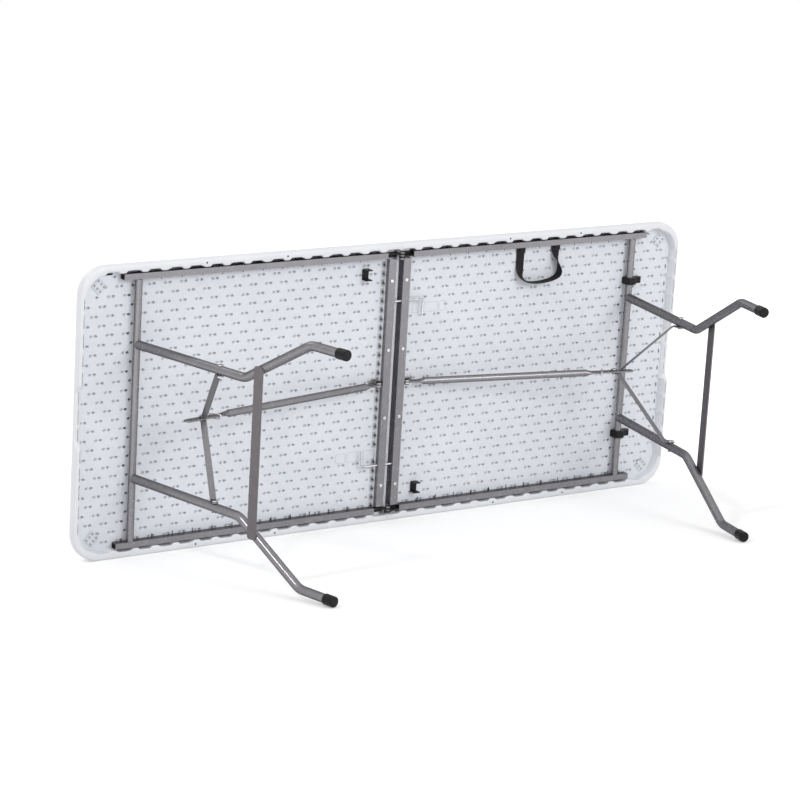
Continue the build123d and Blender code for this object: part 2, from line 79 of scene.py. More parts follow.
def ease(t):
    """Smooth step: three t squared minus two t cubed, with t held between 0 and 1."""
    t = np.clip(t, 0, 1)
    return t * t * (3 - 2 * t)


def bays(along, pitch, start, half, slope):
    """1 inside each bay and 0 on the lands between, one bay every pitch, with eased flanks of width slope."""
    off = np.abs((along - start + pitch / 2) % pitch - pitch / 2)
    return 1 - ease((off - half) / slope)


def grid_quads(rows, columns, wrap=False):
    """Vertex numbers of the quads of a grid numbered row by row; wrap joins the last column to the first."""
    r = np.arange(rows - 1)[:, None]
    c = np.arange(columns if wrap else columns - 1)[None, :]
    d = (c + 1) % columns
    quads = np.stack([r * columns + c, r * columns + d, (r + 1) * columns + d, (r + 1) * columns + c], -1)
    return quads.reshape(-1, 4).tolist()


def make_piece(name, shape, material, body, sharp=35.0, marks=None):
    """Builds a mesh from a shape's points and faces, turns every closed shell outward and smooths it
    below the sharp angle. marks are named values, one for each point, that the material reads."""
    points, faces = shape
    mesh = bpy.data.meshes.new(name)
    mesh.from_pydata(np.asarray(points, float).reshape(-1, 3).tolist(), [], faces)
    work = bmesh.new()
    work.from_mesh(mesh)
    bmesh.ops.recalc_face_normals(work, faces=work.faces)
    work.to_mesh(mesh)
    work.free()
    mesh.polygons.foreach_set("use_smooth", np.ones(len(mesh.polygons), bool))
    mesh.set_sharp_from_angle(angle=np.radians(sharp))
    for mark, values in (marks or {}).items():
        mesh.attributes.new(mark, "FLOAT", "POINT").data.foreach_set("value", np.ravel(values))
    mesh.materials.append(material)
    piece = bpy.data.objects.new(name, mesh)
    bpy.context.scene.collection.objects.link(piece)
    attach(piece, body)
    return piece


def half_turn(shape):
    """The same shape turned half round about the vertical axis through the table's middle."""
    points, faces = shape
    return np.asarray(points) * np.array((-1.0, -1.0, 1.0)), faces


def join(shapes):
    """Several shapes put together as one list of points and one of faces."""
    points = [np.asarray(own, float).reshape(-1, 3) for own, quads in shapes]
    starts = np.cumsum([0] + [len(own) for own in points])
    faces = [[v + start for v in face] for (own, quads), start in zip(shapes, starts) for face in quads]
    return np.concatenate(points), faces


def tube_of_rings(rings):
    """A closed skin through rings of points: quads between neighbouring rings and a flat face at each end."""
    rings = np.asarray(rings, float)
    count, size = rings.shape[:2]
    faces = grid_quads(count, size, wrap=True)
    first = list(range(size))
    last = list(range((count - 1) * size, count * size))
    return rings, faces + [first, last]


def rim_line(side_in, end_in):
    """U-shaped line round three sides, inset by side_in along the sides and end_in along the end.
    Straight runs, joined by quarter circles about fixed centres."""
    x_turn = half_length - corner_radius
    radius = corner_radius - end_in
    y_turn = half_width - side_in - radius
    run = np.linspace(seam_face, x_turn, side_points)
    swing = np.linspace(-np.pi / 2, 0, corner_points)[1:-1]
    cross = np.linspace(-y_turn, y_turn, end_points)
    back = np.stack([run, np.full_like(run, side_in - half_width)], 1)
    turn = np.stack([x_turn + radius * np.cos(swing), -y_turn + radius * np.sin(swing)], 1)
    end = np.stack([np.full_like(cross, half_length - end_in), cross], 1)
    return np.concatenate([back, turn, end, (turn * (1, -1))[::-1], (back * (1, -1))[::-1]])


def rim_rings():
    """The rim's closed section carried round its U-shaped line. A point of the section is given by its inset
    at the sides, its inset at the end, its drop below the face and its share of the bays.
    The inner wall steps out into bays, the outer wall rolls over into the face on a quarter circle,
    and the underside rises in the middle of the end for a finger grip."""
    section = [(0.0243, 0.0240, 0.0120, 0), (0.0227, 0.0218, 0.0170, 1), (0.0225, 0.0214, 0.0190, 1),
               (0.0220, 0.0190, 0.0270, 1), (0.0216, 0.0160, 0.0350, 1), (0.0210, 0.0142, 0.0384, 1),
               (0.0197, 0.0131, 0.0396, 1), (0.0180, 0.0120, 0.0400, 1), (0.0105, 0.0100, 0.0400, 0),
               (0.0080, 0.0080, 0.0400, 0), (0.0050, 0.0050, 0.0394, 0), (0.0023, 0.0023, 0.0376, 0),
               (0.0006, 0.0006, 0.0349, 0), (0.0, 0.0, 0.0315, 0)]
    for a in np.radians(np.linspace(0, 90, edge_points)):
        inset = edge_round * (1 - np.cos(a))
        section.append((inset, inset, edge_round * (1 - np.sin(a)), 0))
    section.append((edge_round, edge_round, 0.0070, 0))
    rings = []
    for side_in, end_in, drop, bay in section:
        line = rim_line(side_in, end_in)
        x, y = line[:, 0], line[:, 1]
        on_side = np.abs(np.abs(y) - (half_width - side_in)) < hair
        on_end = np.abs(x - (half_length - end_in)) < hair
        out = bay * side_bay_depth * bays(x, bay_pitch, bay_start, bay_half, bay_slope)
        y = y + np.where(on_side, np.sign(y) * out, 0)
        reach = 1 - ease((np.abs(y) - end_bay_reach) / end_bay_fade)
        out = bay * end_bay_depth * bays(y, 2 * row_pitch, 0, end_bay_half, bay_slope) * reach
        x = x + np.where(on_end, out, 0)
        grip = 1 - ease((np.abs(y) - grip_half) / grip_shoulder)
        grip = np.where(x > half_length - grip_zone, grip, 0)
        share = (rim_drop - grip_cut * grip - panel_drop) / (rim_drop - panel_drop)
        depth = np.where(drop > panel_drop, panel_drop + (drop - panel_drop) * share, drop)
        rings.append(np.stack([x, y, table_face - depth], 1))
    return np.transpose(np.array(rings), (1, 0, 2))


def face_skin():
    """The flat upper skin: two copies of the rim line at the end of the rolled edge, one below the other."""
    line = rim_line(edge_round, edge_round)
    rings = [np.column_stack([line, np.full(len(line), table_face - d)]) for d in (0.0, skin_drop)]
    return tube_of_rings(rings)


def ridge():
    """The seam ridge: a stepped bar section carried across the table, with a thin lip at the seam, a groove
    beside the lip and its outer wall fluted beside every row of cups. A point of the section is given by its
    distance from the seam, its drop below the face and its share of the flutes."""
    across = np.linspace(-ridge_half, ridge_half, ridge_points)
    flute = bays(across, row_pitch, 0, flute_half, flute_slope)
    section = [(seam_face, skin_drop, 0), (seam_face, 0.0244, 0), (0.0008, ridge_drop, 0),
               (0.0028, ridge_drop, 0), (0.0034, 0.0244, 0), (0.0036, 0.0146, 0), (0.0042, 0.0140, 0),
               (0.0128, 0.0140, 0), (0.0129, 0.0242, 0), (0.0136, ridge_drop, 0), (0.0318, ridge_drop, 0),
               (0.0335, 0.0246, 0.3), (ridge_edge, 0.0235, 1), (ridge_edge, 0.0165, 1),
               (ridge_edge, skin_drop, 0)]
    rings = [np.stack([x - flute_depth * w * flute, across, np.full_like(across, table_face - d)], 1)
             for x, d, w in section]
    return tube_of_rings(np.transpose(np.array(rings), (1, 0, 2)))


def grain_group():
    """Noise at two scales: a mottle for tint and roughness, and a fine height for bump."""
    group = bpy.data.node_groups.new("grain", "ShaderNodeTree")
    group.interface.new_socket(name="Vector", in_out="INPUT", socket_type="NodeSocketVector")
    for name in ("Fine", "Broad"):
        group.interface.new_socket(name=name, in_out="INPUT", socket_type="NodeSocketFloat")
    for name in ("Mottle", "Height"):
        group.interface.new_socket(name=name, in_out="OUTPUT", socket_type="NodeSocketFloat")
    start = group.nodes.new("NodeGroupInput")
    finish = group.nodes.new("NodeGroupOutput")
    for scale, output, detail in (("Broad", "Mottle", 3.0), ("Fine", "Height", 2.0)):
        noise = group.nodes.new("ShaderNodeTexNoise")
        noise.inputs["Detail"].default_value = detail
        group.links.new(start.outputs["Vector"], noise.inputs["Vector"])
        group.links.new(start.outputs[scale], noise.inputs["Scale"])
        group.links.new(noise.outputs["Fac"], finish.inputs[output])
    return group


def map_range(tree, value, start, end, low, high):
    """A node that carries the value from the range start to end over to the range low to high."""
    node = tree.nodes.new("ShaderNodeMapRange")
    for name, number in (("From Min", start), ("From Max", end), ("To Min", low), ("To Max", high)):
        node.inputs[name].default_value = number
    tree.links.new(value, node.inputs["Value"])
    return node


def colour_mix(tree, factor, colour, other, way):
    """A colour that goes over to the other one with the factor, mixed in the given way."""
    mix = tree.nodes.new("ShaderNodeMix")
    mix.data_type = "RGBA"
    mix.blend_type = way
    tree.links.new(factor, mix.inputs["Factor"])
    tree.links.new(colour, mix.inputs["A"])
    mix.inputs["B"].default_value = (*other, 1)
    return mix.outputs["Result"]


def bump_of(tree, height, distance):
    """The normal of a bump with the given height, where 1 stands for the distance in metres."""
    relief = tree.nodes.new("ShaderNodeBump")
    relief.inputs["Strength"].default_value = 1.0
    relief.inputs["Distance"].default_value = distance
    tree.links.new(height, relief.inputs["Height"])
    return relief.outputs["Normal"]


grain = grain_group()
tint_range = (0.32, 0.68)
rough_range = (0.3, 0.7)
rough_swing = 0.05
painted_shade_colour = (0.012, 0.012, 0.014)
slant_blend = 0.45


def finish_material(name, dark, light, rough, fine, broad, bump,
                    metallic=0.0, shine=0.5, painted_shade=False, slant=1.0):
    """A surface whose colour runs from dark to light with the mottle, whose roughness runs over a narrow
    range with it, and whose fine grain is a bump of the given height in metres. With its shade flag set, a
    value that the mesh carries for each point mixes painted shade into the colour. A slant below 1 sets the
    specular tint and the share of its colour kept where the surface is seen edge on, painted shade on the
    edges."""
    material = bpy.data.materials.new(name)
    material.use_nodes = True
    tree = material.node_tree
    shader = tree.nodes["Principled BSDF"]
    shader.inputs["Metallic"].default_value = metallic
    shader.inputs["Specular Tint"].default_value = (slant, slant, slant, 1)
    shader.inputs["Specular IOR Level"].default_value = shine
    place = tree.nodes.new("ShaderNodeTexCoord")
    effect = tree.nodes.new("ShaderNodeGroup")
    effect.node_tree = grain
    effect.inputs["Fine"].default_value = fine
    effect.inputs["Broad"].default_value = broad
    tree.links.new(place.outputs["Object"], effect.inputs["Vector"])
    ramp = tree.nodes.new("ShaderNodeValToRGB")
    for stop, position, tint in zip(ramp.color_ramp.elements, tint_range, (dark, light)):
        stop.position = position
        stop.color = (*tint, 1)
    tree.links.new(effect.outputs["Mottle"], ramp.inputs["Fac"])
    colour = ramp.outputs["Color"]
    if painted_shade:
        # The shade mark: painted shade, mixed towards the dark shade colour.
        depth = tree.nodes.new("ShaderNodeAttribute")
        depth.attribute_name = "painted_shade"
        colour = colour_mix(tree, depth.outputs["Fac"], colour, painted_shade_colour, "MIX")
    elif slant < 1:
        # Painted shade: the colour darkens where the surface is seen edge on.
        weight = tree.nodes.new("ShaderNodeLayerWeight")
        weight.inputs["Blend"].default_value = slant_blend
        colour = colour_mix(tree, weight.outputs["Facing"], colour, (slant, slant, slant), "MULTIPLY")
    tree.links.new(colour, shader.inputs["Base Color"])
    spread = map_range(tree, effect.outputs["Mottle"], *rough_range, rough - rough_swing, rough + rough_swing)
    tree.links.new(spread.outputs["Result"], shader.inputs["Roughness"])
    tree.links.new(bump_of(tree, effect.outputs["Height"], bump), shader.inputs["Normal"])
    return material


white_plastic = finish_material("white_plastic", (0.765, 0.780, 0.815), (0.805, 0.820, 0.850),
                                rough=0.42, fine=700, broad=9, bump=0.0001)
shell = join([tube_of_rings(rim_rings()), face_skin(), ridge()])
right_shell = make_piece("right_shell", shell, white_plastic, "right_half")
left_shell = make_piece("left_shell", half_turn(shell), white_plastic, "left_half")
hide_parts("right_top")
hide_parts("left_top")

# Moulded halves, lower skin: the underside is pressed up against the face in rows of paired cups,
# which stiffen the hollow panel. Rows alternate by half a pitch. On the right half a shallow track
# is sunk under the slide bolt.
# Painted shade darkens the cups, the holes and the slits, and a strip of cups beside the cross tube carries
# its painted shadow.
right_pitch = 0.02166
left_pitch = 0.02180
row_shift = 0.0036
first_edge = 0.0461
cup_count = 38
last_row = 14
cell_quads = 6
cup_wide = 0.0050
cup_tall = 0.0036
cup_depth = 0.0080
cup_near = 0.0062
floor_size = 0.62
floor_level = 0.75
floor_tilt = 0.40
waist_depth = 0.0016
waist_share = 0.35
hole_at = 0.0350
hole_radius = 0.0038
slit_at = 0.8747
slit_gap = 0.0034
slit_wide = 0.0026
slit_tall = 0.0065
end_cup_wide = 0.0040
end_cup_gap = 0.0048
end_cup_reach = 0.29
corner_line = 1.14
seat_end = 0.158
seat_row = -8
track_row = -9
track_start = 0.0312
track_sides = (-0.2158, -0.2082)
track_depth = 0.004
right_track = 0.0918
no_track = 0.0
right_tube_shadow = 0.719
left_tube_shadow = 0.742
tube_shadow_wide = 0.026
panel_start = 0.028
panel_end = 0.884
panel_half = 0.351
panel_sharp = 25
taper_start = 0.78
taper_radius = 0.058
# How much painted shade each kind of point gets: cups, the cross tube's painted shadow, slits, holes and
# their lips.
cup_shade = 0.08
cup_shade_gain = 0.24
tube_shadow_shade = 0.75
slit_shade = 0.90
hole_shade = 1.0
hole_lip_shade = 0.65
lip_margin = 1.02


def cells_of(rows, columns):
    """For the lines of grid points along y and along x, the number of the cell that each belongs to."""
    r = np.minimum(np.arange(cell_quads * rows + 1) // cell_quads, rows - 1)
    c = np.minimum(np.arange(cell_quads * columns + 1) // cell_quads, columns - 1)
    return r, c


def cup_field(x_edges, y_edges, centre_x, radius_x, radius_y, depth):
    """A grid of six by six quads per cell. Inside a cell the square rings of the grid, at 0, one third and
    two thirds of the way out, are bent into ellipses round the cup's centre: the inner ring is the cup's
    floor, the middle ring its lip, and the outer ring stays on the straight edges of the cell.
    Gives x, y and depth of each point."""
    r, c = cells_of(*centre_x.shape)
    a = (np.arange(len(c)) - cell_quads * c) / (cell_quads / 2) - 1
    b = (np.arange(len(r)) - cell_quads * r) / (cell_quads / 2) - 1
    plain_x = x_edges[c] + (a + 1) / 2 * (x_edges[c + 1] - x_edges[c])
    plain_y = y_edges[r] + (b + 1) / 2 * (y_edges[r + 1] - y_edges[r])
    big_a, big_b = np.meshgrid(a, b)
    ring = np.maximum(np.abs(big_a), np.abs(big_b))
    length = np.maximum(np.hypot(big_a, big_b), hair)
    at_centre = ring < 0.1
    on_floor = ring < 0.5
    inside = ring < 0.99
    size = np.where(on_floor, np.where(at_centre, 0, floor_size), 1.0)
    own = np.ix_(r, c)
    middle_y = ((y_edges[:-1] + y_edges[1:]) / 2)[r][:, None]
    bent_x = centre_x[own] + size * radius_x[own] * big_a / length
    bent_y = middle_y + size * radius_y[own] * big_b / length
    cupped = inside & (radius_x[own] > 0)
    x = np.where(cupped, bent_x, plain_x[None, :])
    y = np.where(cupped, bent_y, plain_y[:, None])
    return x, y, np.where(cupped & on_floor, depth, 0.0)


def slab(x, y, drop, back):
    """A closed slab: the grid is its lower side, and its outline is carried up to a flat back."""
    rows, columns = x.shape
    points = np.stack([x, y, table_face - drop], -1).reshape(-1, 3)
    number = np.arange(rows * columns).reshape(rows, columns)
    loop = np.concatenate([number[0, :-1], number[:-1, -1], number[-1, :0:-1], number[:0:-1, 0]])
    upper = points[loop].copy()
    upper[:, 2] = table_face - back
    size = len(loop)
    step = np.arange(size)
    wall = [loop, np.roll(loop, -1), rows * columns + (step + 1) % size, rows * columns + step]
    faces = grid_quads(rows, columns) + np.stack(wall, 1).tolist() + [(rows * columns + step).tolist()]
    return np.concatenate([points, upper]), faces


def cup_plan(pitch, shift, slits, track_end):
    """Plan of one half's cells, its rows moved across by shift. In every cell a cup lies near the edge that
    it shares with its pair. The first column has round holes and the last one single cups and, with slits,
    a slit in every second row. A width of 0 leaves a cell plain: past the last row, across the corners
    and where the bolt lies."""
    x_edges = np.concatenate([[panel_start], first_edge + pitch * np.arange(cup_count + 1), [panel_end]])
    y_rows = row_pitch * (np.arange(2 * last_row + 2) - last_row - 0.5) + shift
    y_edges = np.concatenate([[-panel_half], y_rows, [panel_half]])
    row = (np.arange(len(y_edges) - 1) - 1 - last_row)[:, None]
    cell = (np.arange(len(x_edges) - 1) - 1)[None, :]
    row, cell = np.broadcast_arrays(row, cell)
    to_right = (row + cell) % 2 == 0
    first = cell < 0
    last = cell == cup_count
    slit = last & (row % 2 == 0)
    paired_x = np.where(to_right, x_edges[1:] - cup_near, x_edges[:-1] + cup_near)
    slit_x = np.maximum(slit_at, x_edges[-2] + slit_gap)
    single_x = np.minimum(x_edges[-2] + cup_near, panel_end - end_cup_gap)
    x = np.where(first, hole_at, np.where(last, np.where(slit, slit_x, single_x), paired_x))
    y = row * row_pitch + shift
    wide = np.where(slit, slit_wide, np.where(last, end_cup_wide, cup_wide))
    wide = np.where(first, hole_radius, wide)
    tall = np.where(first, hole_radius, np.where(slit, slit_tall, cup_tall))
    seat = ((x < seat_end) & (row == seat_row)) | ((x < track_end) & (row == track_row))
    plain = (np.abs(row) > last_row) | (x + np.abs(y) > corner_line) | seat
    plain = plain | (last & (np.abs(y) > end_cup_reach)) | (slit & (not slits))
    wide = np.where(plain, 0, wide)
    cells = {"x": x, "y": y, "wide": wide, "tall": tall, "to_right": to_right, "first": first, "slit": slit}
    return x_edges, y_edges, cells


def waists(rows, columns):
    """Depth of the waist that joins two paired cups across the edge between them: full on the middle line,
    a share of it on the lines beside."""
    j = np.arange(cell_quads * rows + 1)[:, None]
    i = np.arange(cell_quads * columns + 1)[None, :]
    edge = (i + 1) // cell_quads
    on_edge = (np.abs(i - cell_quads * edge) <= 1) & (edge > 1) & (edge < columns)
    pair = (edge - 1 + j // cell_quads - 1 - last_row) % 2 == 1
    off = np.abs(j % cell_quads - cell_quads // 2)
    depth = waist_depth * np.where(off == 0, 1.0, np.where(off == 1, waist_share, 0))
    return np.where(on_edge & pair, depth, 0.0)


def taper(x, y):
    """x drawn in past the taper's start, so that the end of the panel keeps inside the rim's round corners:
    at each y the limit is a quarter circle about the corner's centre."""
    beyond = np.clip((np.abs(y) - (half_width - corner_radius)) / taper_radius, 0, 1)
    limit = half_length - corner_radius + taper_radius * np.sqrt(np.maximum(1 - beyond ** 2, 0.0))
    scale = (np.minimum(limit, panel_end) - taper_start) / (panel_end - taper_start)
    return np.where(x > taper_start, taper_start + (x - taper_start) * scale, x)


def panel(pitch, shift, slits, tube_shadow_from, track_end):
    """Lower skin of one half as a field of cups, with the bolt's track lowered into it as far as track_end.
    Gives its shape and its painted shade: a cup's floor tilts away from its pair and is painted darker there,
    the cups in a strip beside the cross tube carry its painted shadow, and holes and slits are painted dark."""
    x_edges, y_edges, cells = cup_plan(pitch, shift, slits, track_end)
    x, y, sink = cup_field(x_edges, y_edges, cells["x"], cells["wide"], cells["tall"], cup_depth)
    rows, columns = cells["x"].shape
    own = np.ix_(*cells_of(rows, columns))
    at = {name: values[own] for name, values in cells.items()}
    floor = sink > 0
    filled = at["wide"] > 0
    outer = (x - at["x"]) * np.where(at["to_right"], -1, 1) / cup_wide
    paired = floor & ~at["first"] & ~at["slit"]
    sink = np.where(floor, sink, np.where(filled, waists(rows, columns), 0.0))
    sink = np.where(paired, sink * (floor_level + floor_tilt * outer), sink)
    dark = np.where(paired, cup_shade + cup_shade_gain * np.clip(outer, 0, 1), 0.0)
    beside = (at["x"] > tube_shadow_from) & (at["x"] < tube_shadow_from + tube_shadow_wide)
    dark = np.where(paired & beside, tube_shadow_shade, dark)
    dark = np.where(floor & at["slit"], slit_shade, dark)
    lip = np.hypot(x - hole_at, y - at["y"]) < lip_margin * hole_radius
    dark = np.where(lip & at["first"] & filled, np.where(floor, hole_shade, hole_lip_shade), dark)
    track = (x > track_start) & (x < track_end) & (y > track_sides[0]) & (y < track_sides[1])
    sink = np.where(track, np.maximum(sink, track_depth), sink)
    points, faces = slab(taper(x, y), y, panel_drop - sink, skin_drop)
    return (points, faces), np.concatenate([dark.ravel(), np.zeros(len(points) - dark.size)])


panel_plastic = finish_material("panel_plastic", (0.745, 0.768, 0.822), (0.785, 0.808, 0.860),
                                rough=0.55, fine=700, broad=9, bump=0.00025, painted_shade=True)
panel_shape, panel_painted_shade = panel(right_pitch, -row_shift, True, right_tube_shadow, right_track)
right_panel = make_piece("right_panel", panel_shape, panel_plastic, "right_half",
                         panel_sharp, {"painted_shade": panel_painted_shade})
panel_shape, panel_painted_shade = panel(left_pitch, row_shift, False, left_tube_shadow, no_track)
left_panel = make_piece("left_panel", half_turn(panel_shape), panel_plastic, "left_half",
                        panel_sharp, {"painted_shade": panel_painted_shade})
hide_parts("right_top")
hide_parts("left_top")

# Finger pockets: beside each slide bolt three rounded oblongs are moulded into the lower skin,
# where fingers reach behind the bolt's grip. A low lip runs round each of them.
# Painted shade darkens each lip, so that it outlines its pocket.
pocket_y = -0.1865
pocket_half = 0.0125
pocket_corner = 0.0055
pocket_turns = 32
pocket_sharp = 35
pocket_shade = 0.13
lip_wide = 0.0026
lip_rise = 0.0009
lip_shoulder = 0.8 * lip_rise
lip_foot = -0.001
right_places = ((0.0705, 0.0137), (0.1143, 0.0213), (0.1505, 0.0105))
left_places = ((0.0527, 0.0162), (0.0966, 0.0211), (0.1370, 0.0143))


def oblong(radius, apart_x, apart_y, count):
    """Outline of an oblong in count points: a circle whose quarters are moved apart along x and y."""
    turn = np.linspace(0, 2 * np.pi, count, endpoint=False)
    along_x, along_y = np.cos(turn), np.sin(turn)
    x = radius * along_x + np.sign(np.round(along_x, 6)) * apart_x
    y = radius * along_y + np.sign(np.round(along_y, 6)) * apart_y
    return x, y


def pocket_lips(places):
    """A closed ring for each pocket, given by its middle and half its length: a low arch as section, carried
    round four quarter circles and the straight sides between them. Gives its shape and its painted shade."""
    section = ((-0.5, lip_foot), (-0.25, lip_shoulder), (0, lip_rise), (0.25, lip_shoulder), (0.5, lip_foot))
    number = np.arange(len(section) * pocket_turns).reshape(len(section), pocket_turns)
    along = np.roll(number, -1, 1)
    quads = np.stack([number, along, np.roll(along, -1, 0), np.roll(number, -1, 0)], -1)
    parts = []
    for middle, half in places:
        rings = []
        for out, rise in section:
            radius = pocket_corner + out * lip_wide
            x, y = oblong(radius, half - pocket_corner, pocket_half - pocket_corner, pocket_turns)
            z = np.full_like(x, table_face - panel_drop - rise)
            rings.append(np.stack([middle + x, pocket_y + y, z], 1))
        parts.append((np.array(rings), quads.reshape(-1, 4).tolist()))
    points, faces = join(parts)
    return (points, faces), np.full(len(points), pocket_shade)


pocket_shape, pocket_painted_shade = pocket_lips(right_places)
make_piece("right_pockets", pocket_shape, panel_plastic, "right_half",
           pocket_sharp, {"painted_shade": pocket_painted_shade})
pocket_shape, pocket_painted_shade = pocket_lips(left_places)
make_piece("left_pockets", half_turn(pocket_shape), panel_plastic, "left_half",
           pocket_sharp, {"painted_shade": pocket_painted_shade})

# Steel frame: rails, beams, cross tubes, bent legs, spreader bars, knee straps and braces are mild steel,
# bent, flattened and riveted, then powder coated in a hammered warm grey. The spreader bars have
# a browner coat, painted darker, partly as painted shade.
grey_paint = finish_material("grey_paint", (0.278, 0.269, 0.285), (0.310, 0.301, 0.317), rough=0.24,
                             fine=420, broad=60, bump=0.00002, metallic=0.65, shine=0.15, slant=0.38)
bar_paint = finish_material("bar_paint", (0.190, 0.174, 0.185), (0.214, 0.198, 0.209), rough=0.36,
                            fine=420, broad=60, bump=0.00002, metallic=0.5, shine=0.15, slant=0.38)


def paint(names, material):
    """Gives the carried-over solids with these names the one material, on both halves where both exist."""
    for name in names:
        for full in (name, "left_" + name, "right_" + name):
            if full in nodes:
                nodes[full].data.materials.clear()
                nodes[full].data.materials.append(material)


paint(["rail_front", "rail_back", "beam", "cross_tube", "leg_front", "leg_back", "strap_front",
       "strap_back", "brace", "hinge_pin_front", "hinge_pin_back"], grey_paint)
paint(["spreader"], bar_paint)

# Hinge leaves and bracket pins: pressed steel leaves with a black finish, riveted inside the rail ends
# and turning on the seam. The pins that carry the braces have the same finish.
dark_steel = finish_material("dark_steel", (0.008, 0.008, 0.009), (0.022, 0.021, 0.023),
                             rough=0.5, fine=500, broad=40, bump=0.0001, shine=0.25)
paint(["leaf_front", "leaf_back", "bracket_pin"], dark_steel)

# Bright parts: rivets, studs, brackets, slide bolts and lock rings are bare zinc-plated steel.
# The bolts and rings are bent from wire, the brackets are pressed, and the rivets are closed in place.
zinc = finish_material("zinc", (0.62, 0.62, 0.64), (0.82, 0.82, 0.84),
                       rough=0.22, fine=600, broad=90, bump=0.00005, metallic=0.9, slant=0.5)
paint(["rivets", "strap_rivets", "knee_studs", "bracket", "lock_ring", "bolt"], zinc)

# Black plastic: foot caps, leg clips, catches and the plates of the carry handle are moulded polypropylene.
# The caps are pushed over the tube ends, and the other pieces are screwed to the panel.
black_plastic = finish_material("black_plastic", (0.004, 0.004, 0.005), (0.010, 0.009, 0.011),
                                rough=0.42, fine=800, broad=50, bump=0.0001, shine=0.2)
paint(["foot_front", "foot_back", "leg_clip", "catch_front", "catch_back", "carry_plates"], black_plastic)

# Carry handle: a length of black polypropylene webbing, screwed down flat at both ends under the back rail.
# Between the ends it twists on edge and stands out from the panel as a loose loop. A point of its route is
# given by its shares of the span, the fall and the height, and by its turn in degrees.
web_x = 0.386
web_y = -0.322
web_span = 0.112
web_fall = 0.094
web_wide = 0.025
web_thick = 0.0018
web_low = panel_drop + 0.0009
web_high = panel_drop + 0.0131
web_steps = 8
web_sharp = 50
web_route = np.array(((0, 0, 0, 0), (0, 0.21, 0, 0), (0, 0.36, 0.05, -2), (-0.005, 0.51, 0.12, -5),
                      (-0.005, 0.65, 0.25, -12), (0.01, 0.765, 0.55, -32), (0.06, 0.87, 0.92, -62),
                      (0.16, 0.955, 1, -85), (0.32, 0.995, 1, -90), (0.5, 1, 1, -90), (0.7, 0.98, 1, -90),
                      (0.89, 0.935, 1, -90), (1.03, 0.86, 1, -90), (1.08, 0.745, 1, -92),
                      (1.075, 0.64, 0.99, -100), (1.05, 0.52, 0.94, -113), (1.025, 0.405, 0.8, -130),
                      (1.008, 0.3, 0.5, -152), (1, 0.17, 0.12, -174), (1, 0, 0, -180)))


def smooth_line(points, steps):
    """Cubic through the given points: between two of them the four nearest are mixed so that the slope
    at a point is half the way from the point before to the point after."""
    padded = np.concatenate([2 * points[:1] - points[1:2], points, 2 * points[-1:] - points[-2:-1]])
    t = np.linspace(0, 1, steps, endpoint=False)[:, None]
    run = []
    for p, q, r, w in zip(padded[:-3], padded[1:-2], padded[2:-1], padded[3:]):
        square = (2 * p - 5 * q + 4 * r - w) * t ** 2
        cube = (3 * q - p - 3 * r + w) * t ** 3
        run.append(0.5 * (2 * q + (r - p) * t + square + cube))
    return np.concatenate(run + [points[-1:]])


def webbing_loop():
    """A flat oblong with rounded edges carried along the handle's line and turned about it. Gives its shape
    and, for the weave, each point's way along the strap and across it."""
    line = smooth_line(web_route, web_steps)
    x = web_x + line[:, 0] * web_span
    y = web_y + line[:, 1] * web_fall
    drop = web_low + np.clip(line[:, 2], 0, 1) * (web_high - web_low)
    middle = np.stack([x, y, table_face - drop], 1)
    along = np.gradient(np.stack([x, y, 0 * x], 1), axis=0)
    along = along / np.linalg.norm(along, axis=1)[:, None]
    flat = np.stack([along[:, 1], -along[:, 0], 0 * x], 1)
    turn = np.radians(line[:, 3])[:, None]
    wide = flat * np.cos(turn) + np.array((0, 0, -1.0)) * np.sin(turn)
    thick = np.cross(along, wide)
    w = web_wide / 2 * np.array((-1, -0.96, -0.5, 0, 0.5, 0.96, 1, 0.96, 0.5, 0, -0.5, -0.96))
    t = web_thick / 2 * np.array((0, 1, 1, 1, 1, 1, 0, -1, -1, -1, -1, -1))
    rings = middle[:, None] + wide[:, None] * w[None, :, None] + thick[:, None] * t[None, :, None]
    length = np.concatenate([[0], np.cumsum(np.linalg.norm(np.diff(middle, axis=0), axis=1))])
    marks = {"run": np.repeat(length, len(w)), "wide": np.tile(w, len(length))}
    return tube_of_rings(rings), marks


def math_node(tree, operation, *values):
    """The result of a sum in the tree, each of its inputs linked to a socket or set to a number."""
    node = tree.nodes.new("ShaderNodeMath")
    node.operation = operation
    for socket, value in zip(node.inputs, values):
        if isinstance(value, float):
            socket.default_value = value
        else:
            tree.links.new(value, socket)
    return node.outputs["Value"]


def woven_material(name, dark, light, pitch, ratio, rough, shine, bump):
    """Plain weave: two sets of bands, one along the strap with the given pitch and one across with ratio
    times that pitch, each a sine, multiplied into a height and a tint."""
    material = bpy.data.materials.new(name)
    material.use_nodes = True
    tree = material.node_tree
    shader = tree.nodes["Principled BSDF"]
    shader.inputs["Roughness"].default_value = rough
    shader.inputs["Specular IOR Level"].default_value = shine
    bands = []
    for mark, size in (("run", pitch), ("wide", pitch * ratio)):
        value = tree.nodes.new("ShaderNodeAttribute")
        value.attribute_name = mark
        wave = math_node(tree, "MULTIPLY", value.outputs["Fac"], 2 * np.pi / size)
        bands.append(math_node(tree, "SINE", wave))
    weave = math_node(tree, "MULTIPLY", *bands)
    spread = map_range(tree, weave, -1, 1, 0, 1).outputs["Result"]
    ramp = tree.nodes.new("ShaderNodeValToRGB")
    ramp.color_ramp.elements[0].color = (*dark, 1)
    ramp.color_ramp.elements[1].color = (*light, 1)
    tree.links.new(spread, ramp.inputs["Fac"])
    tree.links.new(ramp.outputs["Color"], shader.inputs["Base Color"])
    tree.links.new(bump_of(tree, spread, bump), shader.inputs["Normal"])
    return material


webbing = woven_material("webbing", (0.006, 0.005, 0.007), (0.02, 0.018, 0.022),
                         pitch=0.0022, ratio=1.6, rough=0.75, shine=0.25, bump=0.0003)
web_shape, web_marks = webbing_loop()
handle = make_piece("carry_handle", web_shape, webbing, "right_half", web_sharp, web_marks)
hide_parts("carry_strap")
